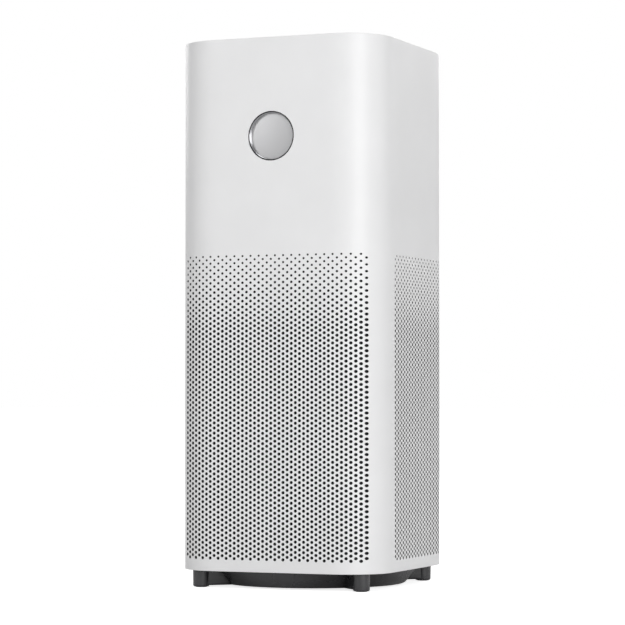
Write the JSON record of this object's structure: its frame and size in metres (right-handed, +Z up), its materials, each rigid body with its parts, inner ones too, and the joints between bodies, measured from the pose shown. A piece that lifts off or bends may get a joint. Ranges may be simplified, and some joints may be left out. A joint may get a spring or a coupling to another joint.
{
  "type": "air purifier",
  "caption": "Upright air purifier: rounded-square white tower on a dark dished base, round front display, filter door at the back and a ring grille on top.",
  "frame": {"origin": "on the floor, under the middle of the housing", "axes": "+Z up; -Y is the front with the round display; +Y is the back with the filter door; +X is to the right when the front is faced"},
  "size_m": [0.3, 0.3, 0.743],
  "materials": {
    "white_shell": "satin white",
    "white_inner": "matt",
    "dark_base": "semi-gloss dark grey",
    "dark_frame": "matt black",
    "rubber": "matt",
    "grille_grey": "fine matt",
    "chrome": "polished",
    "satin_silver": "satin",
    "circuit_board": "solder mask",
    "steel": "plain",
    "copper": "enamelled wire",
    "filter_paper": "pleated paper",
    "filter_plastic": "matt",
    "wire_sheath": "matt sleeve"
  },
  "bodies": {
    "cabinet": {"base_pan": "dark_base", "brightness_board": "circuit_board", "chamber_floor": "dark_frame", "climate_board": "circuit_board", "control_board": "circuit_board", "diffuser": "white_inner", "display_board": "circuit_board", "display_lens": "satin_silver", "display_ring": "chrome", "fan_deck": "dark_frame", "fan_housing": "white_inner", "filter_cap_bottom": "filter_plastic", "filter_cap_top": "filter_plastic", "filter_handle": "grille_grey", "filter_media": "filter_paper", "filter_net": "filter_plastic", "filter_seal": "rubber", "foot_front_left": "dark_base", "foot_front_right": "dark_base", "foot_pad_front_left": "rubber", "foot_pad_front_right": "rubber", "foot_pad_rear_left": "rubber", "foot_pad_rear_right": "rubber", "foot_rear_left": "dark_base", "foot_rear_right": "dark_base", "grille_screw_left": "steel", "grille_screw_right": "steel", "inlet_ring": "white_inner", "lower_bearing": "steel", "motor_mount": "steel", "motor_screw_1": "steel", "motor_screw_2": "steel", "motor_screw_3": "steel", "motor_stator": "copper", "outer_shell": "white_shell", "outlet_grille": "grille_grey", "particle_sensor": "steel", "post_front_left": "dark_frame", "post_front_right": "dark_frame", "post_rear_left": "dark_frame", "post_rear_right": "dark_frame", "power_board": "circuit_board", "power_inlet": "dark_frame", "power_spring": "steel", "switch_board": "circuit_board", "top_deck": "white_shell", "upper_bearing": "steel", "wiring_loom": "wire_sheath"},
    "fan_rotor": {"impeller": "grille_grey", "motor_rotor": "steel", "motor_shaft": "steel"},
    "door": {"rear_door": "white_shell", "latch_pocket": "white_inner", "latch_spring": "steel"},
    "latch": {"door_latch": "white_shell"},
    "power_key": {"power_button": "white_shell"},
    "brightness_key": {"brightness_button": "white_shell"},
    "sensor_flap": {"sensor_cover": "white_shell"}
  },
  "joints": [
    {"name": "fan_spin", "type": "hinge", "parent": "cabinet", "child": "fan_rotor", "pos_m": [0, 0, 0.49], "axis": [0, 0, 1], "continuous": true},
    {"name": "door_tilt", "type": "hinge", "parent": "cabinet", "child": "door", "pos_m": [0, 0.14875, 0.0561], "axis": [-1, 0, 0], "range_deg": [0, 28]},
    {"name": "latch_press", "type": "slide", "parent": "door", "child": "latch", "axis": [0, 0, -1], "range_m": [0, 0.004], "stiffness_N_per_m": 400, "springref_m": -0.002, "deforming": ["latch_spring"]},
    {"name": "power_press", "type": "slide", "parent": "cabinet", "child": "power_key", "axis": [0, 0, -1], "range_m": [0, 0.001], "stiffness_N_per_m": 800, "springref_m": -0.001, "deforming": ["power_spring"]},
    {"name": "brightness_press", "type": "slide", "parent": "cabinet", "child": "brightness_key", "axis": [0, -1, 0], "range_m": [0, 0.0008], "stiffness_N_per_m": 800, "springref_m": -0.001},
    {"name": "sensor_flap_turn", "type": "hinge", "parent": "cabinet", "child": "sensor_flap", "pos_m": [-0.048, 0.14875, 0.61825], "axis": [-1, 0, 0], "range_deg": [0, 95]}
  ]
}
